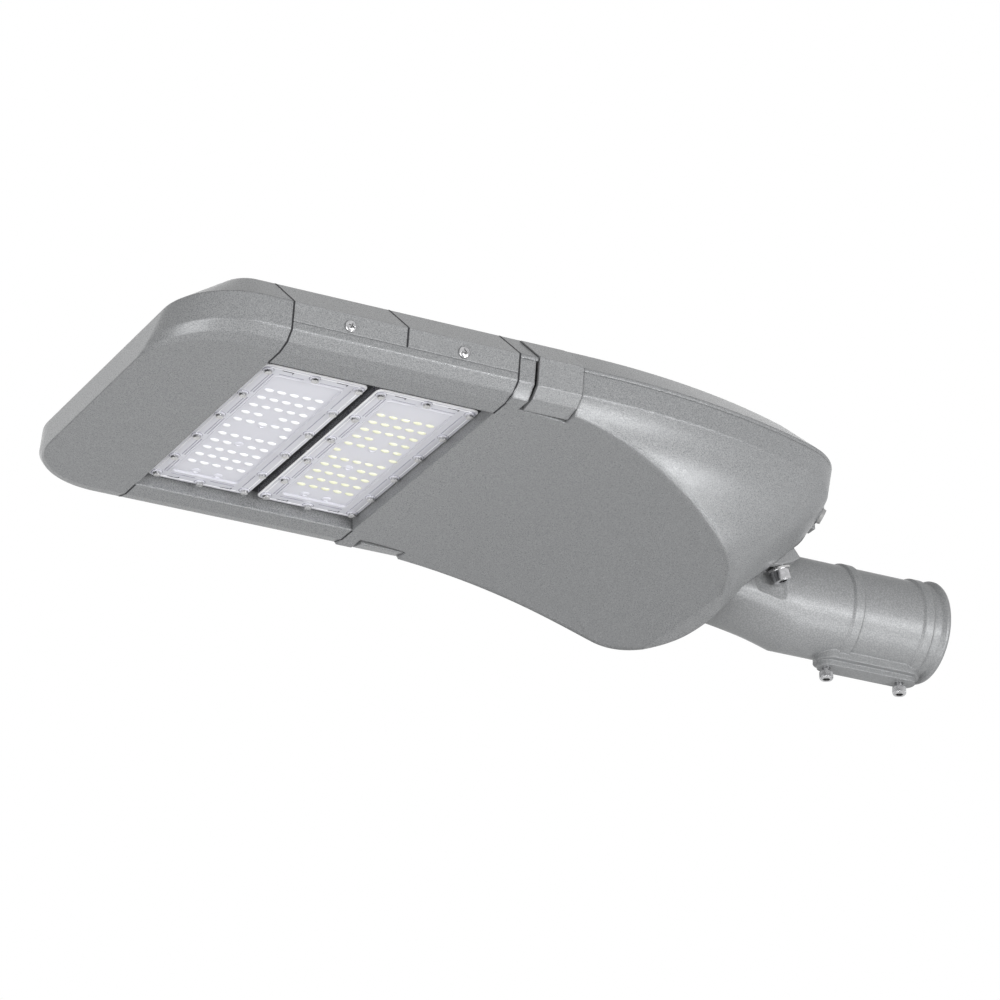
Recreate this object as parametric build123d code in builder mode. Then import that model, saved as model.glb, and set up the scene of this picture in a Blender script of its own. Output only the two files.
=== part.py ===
import math
import os

from build123d import *

os.makedirs("parts", exist_ok=True)

# Street light head, millimetres. +X points out of the pole socket, +Z is up,
# and the origin is the centre of the socket mouth. The lamp is even about Y = 0.

# Layout along the lamp
arm_reach = 109.4
housing_length = 295.8
engine_width = 83.6
engine_count = 2
nose_length = 79.5
base_height = 39.8

# Outer section of the body, as half widths and heights over the flat underside
half_width = 147.4
sole_half_width = 126.0
bevel_half_width = 137.0
bevel_height = 2.6
crease_half_width = 144.5
crease_height = 8.8
seam_height = 14.5
knee_height = 28.0
ridge_half_width = 117.0
ridge_height = 54.5
crown_half_width = 56.0
crown_height = 58.5
wall = 3.5

# Plan of the rear housing
side_straight = 63.0
side_taper = 56.0
rear_radius = 243.0
rear_corner = 63.0

# Nose
nose_corner_sole = 55.0
nose_corner_bevel = 60.0
nose_corner_crease = 58.0
nose_corner_knee = 50.0
nose_corner_ridge = 18.0
nose_corner_crown = 8.0
nose_rake = 8.0
nose_hood = 40.0

# Belly of the rear housing, its flanks drawn in from the crease at each level
flank_inset = 9.1
rear_flank_inset = 4.1
middle_depth = 25.0
middle_inset = 23.0
middle_rear_inset = 24.0
middle_corner = 63.0
belly_inset = 48.0
belly_rear_inset = 71.6
belly_corner = crease_half_width - belly_inset - 18.5
belly_start = 13.0
belly_radius = 298.0
belly_depth = 70.2
rim_flange = 10.0
rim_flange_height = 5.0

# Lid over the driver compartment
lid_height = 25.5
lid_gap = 0.3
lid_wall = 3.0

# Window and LED modules
window_half_width = sole_half_width - 17.5
module_gap = 6.8
module_shift = 2.8
module_far = window_half_width - 3.5
module_near = window_half_width - 17.5
module_corner = 5.0
lens_sole = 8.0
lens_field_drop = 1.2
lens_skin = 2.2
lens_rim = 4.0
lens_flange = 10.0
gasket_height = 1.0
board_thickness = 1.6
board_play = 0.6
seal_inset = 6.8
seal_width = 3.0
led_columns = 5
led_rows = 11
led_pitch_x = 9.3
led_pitch_y = 12.55
led_offset_y = 9.1
led_spread = 3.0
led_size = 3.0
led_height = 0.8
dome_radius = 3.4
dome_height = 1.9
lens_screw_diameter = 3.0
lens_screw_head = 5.2
lens_screw_head_height = 1.8
lens_screw_inset = 5.0
lens_boss_diameter = 7.2
lens_boss_height = 0.8
lens_boss_rows = 4
lens_boss_pitch = 37.3
lens_boss_offset = 12.0
lens_end_inset = 7.0

# Heatsinks
heatsink_base = 4.0
fin_thickness = 3.0
fin_count = 8
engine_joint = 0.4
side_boss_length = 10.0
side_boss_rise = 4.5
side_screw_height = 19.5
side_screw_head = 8.3
side_screw_head_height = 1.6
side_screw_shank = 4.0
side_screw_length = 10.0

# Pole socket and arm
pole_diameter = 60.0
pole_play = 1.0
socket_wall = 4.0
socket_depth = 104.0
socket_length = 121.0
rim_width = 6.0
rim_step = 2.7
band_width = 9.0
band_step = 1.6
band_near = 17.0
band_far = 75.0
cable_way = 24.0
cable_bend_angle = 17.5
cable_bend_diameter = 20.0
neck_foot_setback = 14.0
neck_foot_half = 31.0
neck_foot_bottom = -16.5
neck_foot_top = 22.0
neck_foot_corner = 12.0
boss_length = 84.0
boss_start = 8.0
boss_width = 24.0
boss_top_width = 15.0
boss_rise = 8.0
set_screw_diameter = 6.0
set_screw_head = 10.0
set_screw_head_height = 6.0
set_screw_gap = 3.0
set_screw_front = 22.5
set_screw_back = 83.0
hex_across = 5.0
hex_depth = 3.0
thread_play = 0.05

# Tilt knuckle
tilt_setback = 50.0
tilt_rise = 8.0
tilt_range = 15.0
barrel_radius = 36.0
barrel_wall = 7.0
tilt_clearance = 0.05
cradle_thickness = 8.4
cradle_half_width = 50.0
cradle_front_angle = -12.0
cradle_rear_angle = 38.0
pocket_play = 1.2
pocket_front_angle = -17.0
pocket_rear_angle = 93.0
tilt_bolt_angle = 20.0
tilt_bolt_y = 40.0
tilt_bolt_diameter = 8.0
tilt_bolt_head = 13.0
tilt_bolt_head_height = 8.0
tilt_bolt_play = 0.5
tilt_washer_gap = 0.3
tilt_washer_play = 0.8
tilt_washer_diameter = 16.0
tilt_washer_thickness = 1.6
tilt_bolt_depth = 22.0
tilt_bolt_boss = 18.0

# Latches
latch_front = 14.6
latch_width = 33.4
latch_proud = 1.0
latch_depth = 2.5
latch_gap = 0.5
latch_gap_front = 2.4
latch_pin_diameter = 3.0
latch_barrel = 7.6
latch_pivot_half_width = ridge_half_width + 2.5
latch_pivot_height = ridge_height - 8.0
latch_ledge = half_width - 26.4
latch_lip_half_width = latch_ledge + 3.0
latch_head = 3.5
latch_play = 0.3
pin_play = 0.05
latch_pin_end = 6.0

# Seal between the housing and the lid, and the vent plug
groove_width = 3.2
groove_depth = 2.0
groove_inset = 3.4
seal_play = 0.2
vent_y = -60.0
vent_height = 4.0
vent_diameter = 12.0
vent_cap = 2.6
vent_seat = 0.6
vent_shank = 6.0

# Lid hinge
hinge_lug_width = 9.0
hinge_lid_width = 22.0
hinge_play = 0.3
hinge_radius = 5.0
hinge_pin_diameter = 5.0
hinge_setback = 3.0

# Driver compartment
tray_thickness = 2.0
driver_length = 150.0
driver_width = 67.0
driver_height = 36.0
driver_ear = 12.0
surge_diameter = 34.0
surge_height = 30.0
terminal_length = 46.0
terminal_width = 24.0
terminal_height = 22.0
terminal_from_front = 80.0
surge_from_front = 150.0
gear_y = 44.0
clamp_length = 12.0
clamp_width = 40.0
clamp_height = 15.0
clamp_bore = 11.0
gear_screw = 4.0
gear_screw_head = 8.0
gear_screw_head_height = 2.6
gear_screw_length = 6.0
gear_screw_play = 0.5
tray_height = 6.0
tray_length = 190.0
tray_inset = 49.4
tray_front = 14.0
tray_corner = 8.0
pillar_diameter = 12.0
pillar_inset = 14.0

x_rear = -arm_reach
x_split = x_rear - housing_length
x_front = x_split - engine_count * engine_width
x_nose = x_front - nose_length
z_base = base_height
z_seam = z_base + seam_height
z_lid = z_base + lid_height
tilt_x = x_rear - tilt_setback
tilt_z = z_base + tilt_rise
bore_radius = pole_diameter / 2 + pole_play
socket_radius = bore_radius + socket_wall
taper_length = housing_length - side_straight
side_radius = (taper_length**2 + side_taper**2) / (2 * side_taper)


def save(piece, name):
    piece.part.label = name
    export_step(piece.part, "parts/" + name + ".step")


def wall_half_width(height):
    # half width of the outer side wall between the crease and the knee
    share = (height - crease_height) / (knee_height - crease_height)
    return crease_half_width + share * (half_width - crease_half_width)


def circles_meet(center_a, radius_a, center_b, radius_b):
    # rearmost crossing of two circles in the plan
    dx = center_b[0] - center_a[0]
    dy = center_b[1] - center_a[1]
    distance = math.hypot(dx, dy)
    along = (distance**2 + radius_a**2 - radius_b**2) / (2 * distance)
    across = math.sqrt(radius_a**2 - along**2)
    foot_x = center_a[0] + along * dx / distance
    foot_y = center_a[1] + along * dy / distance
    first = (foot_x - across * dy / distance, foot_y + across * dx / distance)
    second = (foot_x + across * dy / distance, foot_y - across * dx / distance)
    return max(first, second)


def toward(center, point, radius):
    # point of a circle that lies on the way from its centre to another point
    scale = radius / math.hypot(point[0] - center[0], point[1] - center[1])
    return (center[0] + (point[0] - center[0]) * scale, center[1] + (point[1] - center[1]) * scale)


def arc_middle(center, radius, start, end):
    return toward(center, ((start[0] + end[0]) / 2, (start[1] + end[1]) / 2), radius)


def rear_plan(inset, corner, front=0.0, rear=0.0):
    # plan of the rear housing, drawn in by the inset, and by a further amount at the rear:
    # straight sides, side arcs, corner arcs that touch both neighbours, and the rear arc
    half = half_width - inset
    start = (x_split + side_straight, half)
    side_center = (start[0], half_width - side_radius)
    rear_center = (x_rear - rear_radius, 0)
    side_r = side_radius - inset
    rear_r = rear_radius - inset - rear
    corner_center = circles_meet(side_center, side_r - corner, rear_center, rear_r - corner)
    side_end = toward(side_center, corner_center, side_r)
    rear_end = toward(rear_center, corner_center, rear_r)
    rear_tip = (x_rear - inset - rear, 0)
    with BuildLine() as outline:
        Line((x_split + front, 0), (x_split + front, half))
        Line((x_split + front, half), start)
        ThreePointArc(start, arc_middle(side_center, side_r, start, side_end), side_end)
        ThreePointArc(side_end, arc_middle(corner_center, corner, side_end, rear_end), rear_end)
        ThreePointArc(rear_end, arc_middle(rear_center, rear_r, rear_end, rear_tip), rear_tip)
        mirror(about=Plane.XZ)
    make_face(outline.edges())


def nose_plan(front_x, half, corner, rear_x=x_front):
    with Locations(((front_x + rear_x) / 2, 0)):
        Rectangle(rear_x - front_x, 2 * half)
    front = vertices().group_by(Axis.X)[0]
    fillet(front, corner)


def body_section():
    # outer section across the lamp, in the plane of Y and Z
    points = [
        (0, 0),
        (sole_half_width, 0),
        (bevel_half_width, bevel_height),
        (crease_half_width, crease_height),
        (half_width, knee_height),
        (ridge_half_width, ridge_height),
        (crown_half_width, crown_height),
        (0, crown_height),
    ]
    with BuildLine() as outline:
        Polyline([(y, z + z_base) for y, z in points])
        mirror(about=Plane.YZ)
    make_face(outline.edges())


# Pole socket, neck and cradle, one casting
def polar(angle, radius):
    # point about the tilt axis, the angle is taken from straight down towards +X
    turn = math.radians(angle)
    return (tilt_x + radius * math.sin(turn), tilt_z - radius * math.cos(turn))


def knuckle_sector(first, last, reach):
    # wedge about the tilt axis
    middle = (first + last) / 2
    with BuildLine() as outline:
        Polyline(
            (tilt_x, tilt_z),
            polar(first, reach),
            polar(middle, reach * 1.5),
            polar(last, reach),
            close=True,
        )
    make_face(outline.edges())


seat_radius = barrel_radius + tilt_clearance
cradle_radius = barrel_radius + cradle_thickness
far_reach = 4 * cradle_radius
x_neck = -socket_length
x_foot = tilt_x - neck_foot_setback

bolt_sides = (-tilt_bolt_y, tilt_bolt_y)


def radial_plane(angle, radius, y):
    # plane across a ray from the tilt axis, with its normal away from the axis
    x, z = polar(angle, radius)
    out_x, out_z = polar(angle, radius + 1)
    return Plane(origin=(x, y, z), x_dir=(0, 1, 0), z_dir=(out_x - x, 0, out_z - z))


def radial_slot(first, last, start, reach, half, y):
    # slot along the turn of the knuckle, between two radii
    for angle in (first, last):
        with BuildSketch(radial_plane(angle, start, y)) as end:
            Circle(half)
        extrude(end.sketch, amount=reach - start, mode=Mode.SUBTRACT)
    with BuildSketch(Plane.XZ.offset(-y - half)) as sector:
        knuckle_sector(first, last, reach)
        with Locations((tilt_x, tilt_z)):
            Circle(reach, mode=Mode.INTERSECT)
            Circle(start, mode=Mode.SUBTRACT)
    extrude(sector.sketch, amount=2 * half, mode=Mode.SUBTRACT)


with BuildPart() as spigot_arm:
    with BuildSketch(Plane.YZ.offset(x_neck)):
        Circle(socket_radius)
    with BuildSketch(Plane.YZ.offset(x_foot)):
        with Locations((0, (neck_foot_top + neck_foot_bottom) / 2)):
            RectangleRounded(2 * neck_foot_half, neck_foot_top - neck_foot_bottom, neck_foot_corner)
    loft()
    with BuildSketch(Plane.XZ) as cradle_profile:
        knuckle_sector(cradle_front_angle, cradle_rear_angle, far_reach)
        with Locations((tilt_x, tilt_z)):
            Circle(cradle_radius, mode=Mode.INTERSECT)
    extrude(amount=cradle_half_width, both=True)
    with BuildSketch(Plane.YZ.offset(x_neck)):
        Circle(socket_radius)
    extrude(amount=socket_length)
    for end, width, step in (
        (0.0, rim_width, rim_step),
        (-band_near + band_width / 2, band_width, band_step),
        (-band_far + band_width / 2, band_width, band_step),
    ):
        with BuildSketch(Plane.XZ):
            with BuildLine():
                Polyline(
                    (end, bore_radius + 1),
                    (end, socket_radius + step * 0.7),
                    (end - step * 0.6, socket_radius + step),
                    (end - width + step, socket_radius + step),
                    (end - width, socket_radius),
                    (end - width, bore_radius + 1),
                    close=True,
                )
            make_face()
        revolve(axis=Axis.X)
    boss_x = -boss_start - boss_length / 2
    for width, rise, trim in ((boss_width, boss_rise / 2, 0.0), (boss_top_width, boss_rise, 5.0)):
        with BuildSketch(Plane.XY.offset(-socket_radius - rise)):
            with Locations((boss_x, 0)):
                SlotOverall(boss_length - trim, width)
        extrude(amount=socket_wall + rise)
    with BuildSketch(Plane.XZ) as barrel_room:
        with Locations((tilt_x, tilt_z)):
            Circle(seat_radius)
    extrude(amount=2 * cradle_half_width, both=True, mode=Mode.SUBTRACT)
    with BuildSketch(Plane.XZ) as front_trim:
        knuckle_sector(cradle_front_angle - 110, cradle_front_angle, far_reach)
    extrude(amount=2 * cradle_half_width, both=True, mode=Mode.SUBTRACT)
    with BuildSketch(Plane.YZ.offset(-socket_depth)):
        Circle(bore_radius)
    extrude(amount=socket_depth, mode=Mode.SUBTRACT)
    with BuildSketch(Plane.YZ.offset(-socket_depth)):
        Circle(cable_way / 2)
    extrude(amount=socket_depth + polar(cable_bend_angle, -tilt_z)[0], mode=Mode.SUBTRACT)
    with BuildSketch(radial_plane(cable_bend_angle, barrel_radius - 1, 0)):
        Circle(cable_bend_diameter / 2)
    extrude(amount=tilt_z - barrel_radius + 2, mode=Mode.SUBTRACT)
    for y in bolt_sides:
        swing = (tilt_bolt_angle - tilt_range, tilt_bolt_angle)
        bolt_half = tilt_bolt_diameter / 2 + tilt_bolt_play
        radial_slot(*swing, barrel_radius - 1, cradle_radius + 1, bolt_half, y)
        washer_half = tilt_washer_diameter / 2 + tilt_washer_play
        radial_slot(*swing, cradle_radius, cradle_radius + 3 * tilt_bolt_head, washer_half, y)
    for x in (-set_screw_front, -set_screw_back):
        with Locations(Location((x, 0, -socket_radius - boss_rise), (180, 0, 0))):
            Hole(set_screw_diameter / 2, depth=boss_rise + 2 * socket_wall)
save(spigot_arm, "spigot_arm")


# Rear housing with its belly
top_inset = half_width - wall_half_width(lid_height)
crease_inset = half_width - crease_half_width
belly_x = x_split + belly_start
rear_slope = (middle_rear_inset - rear_flank_inset) / middle_depth
latch_x = x_split + latch_front
pocket_x = latch_x - latch_gap_front
pocket_length = latch_gap_front + latch_width + latch_gap


def belly_side(raised):
    # side view of the belly: flat, then an arc, then level at its depth
    radius = belly_radius + raised
    depth = belly_depth - raised
    center_z = z_base - belly_radius
    turn = math.acos((belly_radius - depth) / radius)
    start = (belly_x, center_z + radius)
    middle = (belly_x + radius * math.sin(turn / 2), center_z + radius * math.cos(turn / 2))
    end = (belly_x + radius * math.sin(turn), center_z + radius * math.cos(turn))
    with BuildLine() as outline:
        Polyline(
            end,
            (x_rear, end[1]),
            (x_rear, z_lid),
            (x_split, z_lid),
            (x_split, start[1]),
            start,
        )
        ThreePointArc(start, middle, end)
    make_face(outline.edges())


def belly_levels(levels, shrink, front):
    # plans of the belly, drawn in by the shrink and by more of it where the flank lies flatter
    plans = []
    for height, inset, rear_inset, corner, slant in levels:
        with BuildSketch(Plane.XY.offset(z_base + height)) as level:
            rear_plan(inset + shrink * slant, corner - shrink * slant, front, rear_inset - inset)
        plans.append(level.sketch.face())
    return plans


flank_slant = math.hypot(1, rear_slope)
belly_upper = (
    (lid_height, top_inset, top_inset, rear_corner, 1.0),
    (crease_height, crease_inset, crease_inset, rear_corner, 1.0),
)
belly_lower = [
    (height, crease_inset + inset, crease_inset + rear_inset, corner, slant)
    for height, inset, rear_inset, corner, slant in (
        (crease_height, 0.0, 0.0, rear_corner, 1.0),
        (0.0, flank_inset, rear_flank_inset, rear_corner, flank_slant),
        (-middle_depth, middle_inset, middle_rear_inset, middle_corner, flank_slant),
        (-belly_depth, belly_inset, belly_rear_inset, belly_corner, flank_slant),
    )
]


def knuckle_pocket(grow, inner_radius):
    # room that the cradle and neck need behind the belly over the tilt
    with BuildSketch(Plane.XZ.offset(-cradle_half_width - pocket_play - grow)) as profile:
        knuckle_sector(pocket_front_angle, pocket_rear_angle, far_reach)
        if grow > 0:
            offset(amount=grow)
        with Locations((tilt_x, tilt_z)):
            Circle(inner_radius, mode=Mode.SUBTRACT)
    width = 2 * (cradle_half_width + pocket_play + grow)
    return extrude(profile.sketch, amount=width, mode=Mode.SUBTRACT)


def latch_wells(grow, bottom, top, mode):
    # straight wells in both sides behind the latches
    for side in (-1, 1):
        reach = half_width - latch_ledge + grow
        with Locations((pocket_x - grow, side * (latch_ledge - grow + reach / 2), bottom)):
            Box(
                pocket_length + 2 * grow,
                reach,
                top - bottom,
                align=(Align.MIN, Align.CENTER, Align.MIN),
                mode=mode,
            )


with BuildPart() as belly_form:
    loft(belly_levels(belly_upper, 0, 0), ruled=True)
    loft(belly_levels(belly_lower, 0, 0))
    with BuildSketch(Plane.XZ.offset(-half_width)):
        belly_side(0)
    extrude(amount=2 * half_width, mode=Mode.INTERSECT)

with BuildPart() as belly_room:
    loft(belly_levels(belly_upper, wall, wall), ruled=True)
    loft(belly_levels(belly_lower, wall, wall))
    with BuildSketch(Plane.XZ.offset(-half_width)):
        belly_side(wall)
    extrude(amount=2 * half_width, mode=Mode.INTERSECT)
    knuckle_pocket(wall, barrel_radius - barrel_wall)
    latch_wells(wall, z_base, z_lid, Mode.SUBTRACT)
    with BuildSketch(Plane.XY.offset(z_lid - rim_flange_height)):
        Rectangle(2 * (housing_length + arm_reach) + 400, 4 * half_width)
    extrude(amount=2 * rim_flange_height, mode=Mode.SUBTRACT)

tray_width = 2 * (half_width - tray_inset)
pillar_spots = [
    (x_split + tray_front + along, across)
    for along in (pillar_inset, tray_length - 2 * pillar_inset)
    for across in (-tray_width / 2 + pillar_inset, tray_width / 2 - pillar_inset)
]
with BuildPart() as tray_pillars:
    with BuildSketch(Plane.XY.offset(z_base + tray_height)):
        with Locations(pillar_spots):
            Circle(pillar_diameter / 2)
    extrude(amount=-belly_depth - tray_height)
    add(belly_form.part, mode=Mode.INTERSECT)

x_hinge = x_rear + hinge_setback
hinge_gap = hinge_lid_width / 2 + hinge_play
hinge_reach = hinge_gap + hinge_lug_width


def rim_plan(inset):
    # plan inside the rim, led along the inner side of the latch wells
    rear_plan(top_inset + inset, rear_corner - inset, inset)
    behind = pocket_x + pocket_length + inset
    for side in (-1, 1):
        with Locations((behind, side * (latch_ledge - inset))):
            Rectangle(
                housing_length,
                half_width,
                align=(Align.MAX, Align.MIN if side > 0 else Align.MAX),
                mode=Mode.SUBTRACT,
            )


def vent_frame():
    # plane on the rear flank of the belly, with its normal out of the flank
    slope = math.atan2(crease_height, rear_flank_inset)
    reach = rear_radius - crease_inset - (crease_height - vent_height) / math.tan(slope)
    along = math.sqrt(reach**2 - vent_y**2)
    out = (along / reach * math.sin(slope), vent_y / reach * math.sin(slope), -math.cos(slope))
    return Plane(origin=(x_rear - rear_radius + along, vent_y, z_base + vent_height), z_dir=out)


with BuildPart() as rear_housing:
    add(belly_form.part)
    with BuildSketch(Plane.XY.offset(z_lid - groove_depth)):
        rim_plan(groove_inset)
    extrude(amount=groove_depth, mode=Mode.SUBTRACT)
    with BuildSketch(Plane.XY.offset(z_lid - groove_depth)):
        rim_plan(groove_inset + groove_width)
    extrude(amount=groove_depth)
    add(belly_room.part, mode=Mode.SUBTRACT)
    add(tray_pillars.part)
    with BuildSketch(Plane.XY.offset(z_lid - rim_flange_height)):
        rim_plan(rim_flange)
    extrude(amount=rim_flange_height, mode=Mode.SUBTRACT)
    with BuildSketch(Plane.XZ.offset(-cradle_half_width)):
        with Locations((tilt_x, tilt_z)):
            Circle(barrel_radius)
            Circle(barrel_radius - barrel_wall, mode=Mode.SUBTRACT)
        with Locations((tilt_x, tilt_z)):
            Rectangle(2 * barrel_radius, barrel_radius, align=(Align.CENTER, Align.MIN), mode=Mode.SUBTRACT)
    extrude(amount=2 * cradle_half_width)
    for y in bolt_sides:
        with BuildSketch(radial_plane(tilt_bolt_angle, barrel_radius - tilt_bolt_depth, y)):
            Circle(tilt_bolt_boss / 2)
        extrude(amount=tilt_bolt_depth - barrel_wall / 2)
    knuckle_pocket(0, barrel_radius)
    cable_swing = (cable_bend_angle, cable_bend_angle + tilt_range)
    radial_slot(*cable_swing, barrel_radius - 2 * barrel_wall, barrel_radius + 1, cable_bend_diameter / 2, 0)
    latch_wells(0, z_base - lid_height, z_lid, Mode.SUBTRACT)
    for y in bolt_sides:
        with BuildSketch(radial_plane(tilt_bolt_angle, barrel_radius + 1, y)):
            Circle(tilt_bolt_diameter / 2)
        extrude(amount=-tilt_bolt_depth, mode=Mode.SUBTRACT)
    with BuildSketch(vent_frame().offset(-wall / 2)):
        Circle(vent_diameter / 2 + 1)
    extrude(amount=wall / 2 + vent_seat)
    with BuildSketch(vent_frame().offset(vent_seat)):
        Circle(vent_shank / 2)
    extrude(amount=-wall - vent_seat, mode=Mode.SUBTRACT)
    with Locations([Location((x, y, z_base + tray_height)) for x, y in pillar_spots]):
        Hole(gear_screw / 2, depth=gear_screw_length - tray_thickness + gear_screw_play)
    for side in (-1, 1):
        lug_middle = side * (hinge_gap + hinge_lug_width / 2)
        with BuildSketch(Plane.XZ.offset(-lug_middle - hinge_lug_width / 2)):
            with Locations((x_hinge, z_lid)):
                Circle(hinge_radius)
            with Locations((x_rear - wall, z_lid)):
                Rectangle(hinge_setback + hinge_radius + wall, 2.4 * hinge_radius, align=(Align.MIN, Align.MAX))
        extrude(amount=hinge_lug_width)
    with BuildSketch(Plane.XZ.offset(-hinge_gap)):
        with Locations((x_hinge, z_lid)):
            Circle(hinge_radius + hinge_play)
    extrude(amount=2 * hinge_gap, mode=Mode.SUBTRACT)
    with BuildSketch(Plane.XZ.offset(-hinge_reach - 1)):
        with Locations((x_hinge, z_lid)):
            Circle(hinge_pin_diameter / 2 + pin_play)
    extrude(amount=2 * hinge_reach + 2, mode=Mode.SUBTRACT)
save(rear_housing, "rear_housing")

# Lid over the driver compartment
ridge_inset = half_width - ridge_half_width
crown_inset = half_width - crown_half_width
lid_ridge_corner = 26.0
lid_crown_corner = 14.0
lid_block = lid_wall + 9.0
facet_turn = math.degrees(math.atan2(ridge_height - knee_height, half_width - ridge_half_width))
facet_drop = math.radians(facet_turn)
pin_start = latch_x - latch_gap - latch_pin_end
pin_length = latch_width + 2 * (latch_gap + latch_pin_end)
latch_skin = (ridge_height - latch_pivot_height) * math.cos(facet_drop) - (
    latch_pivot_half_width - ridge_half_width
) * math.sin(facet_drop)
latch_swing = math.hypot(latch_head, latch_skin + latch_proud) + latch_play
latch_open = latch_skin + latch_proud + latch_play


def lid_levels(levels, front):
    # plans from the lid seam up to the crown
    faces_up = []
    for height, inset, corner in levels:
        with BuildSketch(Plane.XY.offset(z_base + height)) as level:
            rear_plan(inset, corner, front)
        faces_up.append(level.sketch.face())
    return faces_up


def section_core(inset):
    # body section drawn in by an inset
    with BuildSketch(Plane.YZ) as core:
        body_section()
        offset(amount=-inset, kind=Kind.INTERSECTION)
    return core.sketch_local


def latch_pivot(side):
    return (side * latch_pivot_half_width, z_base + latch_pivot_height)


def latch_band(side, outer, core, head):
    # strip along the body section, from the head over the pivot down and round the side
    body_section()
    offset(amount=outer, kind=Kind.INTERSECTION)
    add(core, mode=Mode.SUBTRACT)
    pivot = latch_pivot(side)
    start = (pivot[0] - side * head * math.cos(facet_drop), pivot[1] + head * math.sin(facet_drop))
    turn = -facet_turn if side > 0 else 180 + facet_turn
    with Locations(Location((start[0], start[1], 0), (0, 0, turn))):
        Rectangle(half_width, 2 * half_width, align=(Align.MIN, Align.CENTER), mode=Mode.INTERSECT)


latch_core = section_core(latch_depth)
bed_core = section_core(latch_depth + latch_play)
lid_outside = (
    (lid_height, top_inset, rear_corner),
    (knee_height, 0.0, rear_corner),
    (ridge_height, ridge_inset, lid_ridge_corner),
    (crown_height, crown_inset, lid_crown_corner),
)
lid_inside = (
    (lid_height - 1, top_inset + lid_wall, rear_corner - lid_wall),
    (knee_height - lid_wall / 2, lid_wall, rear_corner - lid_wall),
    (ridge_height - lid_wall, ridge_inset + lid_wall / 2, lid_ridge_corner - lid_wall),
    (crown_height - lid_wall, crown_inset + lid_wall, lid_crown_corner - lid_wall),
)

with BuildPart() as lid_room:
    loft(lid_levels(lid_inside, lid_gap + lid_wall), ruled=True)
    latch_wells(lid_block, z_base, z_base + crown_height, Mode.SUBTRACT)
    with BuildSketch(Plane.XY.offset(z_lid - wall)):
        Rectangle(4 * housing_length, 4 * half_width)
    extrude(amount=wall + lid_wall, mode=Mode.SUBTRACT)

with BuildPart() as lid:
    loft(lid_levels(lid_outside, lid_gap), ruled=True)
    add(lid_room.part, mode=Mode.SUBTRACT)
    with BuildSketch(Plane.XY.offset(z_lid)):
        rim_plan(rim_flange)
    extrude(amount=lid_wall + 0.5, mode=Mode.SUBTRACT)
    with BuildSketch(Plane.XZ.offset(-hinge_reach - hinge_play)):
        with Locations((x_hinge, z_lid)):
            Circle(hinge_radius + hinge_play)
    extrude(amount=2 * (hinge_reach + hinge_play), mode=Mode.SUBTRACT)
    with BuildSketch(Plane.XZ.offset(-hinge_lid_width / 2)):
        with Locations((x_hinge, z_lid)):
            Circle(hinge_radius)
            Rectangle(hinge_setback + lid_wall, hinge_radius, align=(Align.MAX, Align.MIN))
    extrude(amount=hinge_lid_width)
    with BuildSketch(Plane.XZ.offset(-hinge_lid_width)):
        with Locations((x_hinge, z_lid)):
            Circle(hinge_pin_diameter / 2 + pin_play)
    extrude(amount=2 * hinge_lid_width, mode=Mode.SUBTRACT)
    for side in (-1, 1):
        with BuildSketch(Plane.YZ.offset(latch_x - latch_gap)):
            latch_band(side, latch_swing, bed_core, latch_open)
            with Locations(latch_pivot(side)):
                Circle(latch_swing)
        extrude(amount=latch_width + 2 * latch_gap, mode=Mode.SUBTRACT)
        with BuildSketch(Plane.YZ.offset(pin_start)):
            with Locations(latch_pivot(side)):
                Circle(latch_pin_diameter / 2 + pin_play)
        extrude(amount=pin_length, mode=Mode.SUBTRACT)
save(lid, "lid")

# Latches, one on each side, and their pins
for side, name in ((-1, "near_latch"), (1, "far_latch")):
    with BuildPart() as latch:
        with BuildSketch(Plane.YZ.offset(latch_x)):
            latch_band(side, latch_proud, latch_core, latch_head)
            with Locations((0, z_base)):
                Rectangle(2 * latch_lip_half_width, 2 * seam_height, mode=Mode.SUBTRACT)
            with Locations(latch_pivot(side)):
                Circle(latch_barrel / 2)
                Circle(latch_pin_diameter / 2 + pin_play, mode=Mode.SUBTRACT)
        extrude(amount=latch_width)
    save(latch, name)

with BuildPart() as latch_pins:
    with BuildSketch(Plane.YZ.offset(pin_start)):
        with Locations([latch_pivot(side) for side in (-1, 1)]):
            Circle(latch_pin_diameter / 2)
    extrude(amount=pin_length)
save(latch_pins, "latch_pins")

with BuildPart() as lid_hinge_pin:
    with BuildSketch(Plane.XZ.offset(-hinge_reach)):
        with Locations((x_hinge, z_lid)):
            Circle(hinge_pin_diameter / 2)
    extrude(amount=2 * hinge_reach)
save(lid_hinge_pin, "lid_hinge_pin")

with BuildPart() as housing_gasket:
    with BuildSketch(Plane.XY.offset(z_lid - groove_depth)):
        rim_plan(groove_inset + seal_play)
    extrude(amount=groove_depth - latch_play)
    with BuildSketch(Plane.XY.offset(z_lid - groove_depth)):
        rim_plan(groove_inset + groove_width - seal_play)
    extrude(amount=groove_depth, mode=Mode.SUBTRACT)
save(housing_gasket, "housing_gasket")

with BuildPart() as vent_plug:
    with BuildSketch(vent_frame().offset(vent_seat)):
        Circle(vent_diameter / 2)
    extrude(amount=vent_cap, taper=12)
    with BuildSketch(vent_frame().offset(vent_seat)):
        Circle(vent_shank / 2 - thread_play)
    extrude(amount=-wall)
save(vent_plug, "vent_plug")

# Tilt bolts with their washers, and the set screws of the pole socket
washer_face = cradle_radius + tilt_washer_gap
bolt_face = washer_face + tilt_washer_thickness
with BuildPart() as tilt_washers:
    for y in bolt_sides:
        with BuildSketch(radial_plane(tilt_bolt_angle, washer_face, y)):
            Circle(tilt_washer_diameter / 2)
            Circle(tilt_bolt_diameter / 2 + pin_play, mode=Mode.SUBTRACT)
        extrude(amount=tilt_washer_thickness)
save(tilt_washers, "tilt_washers")


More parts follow.
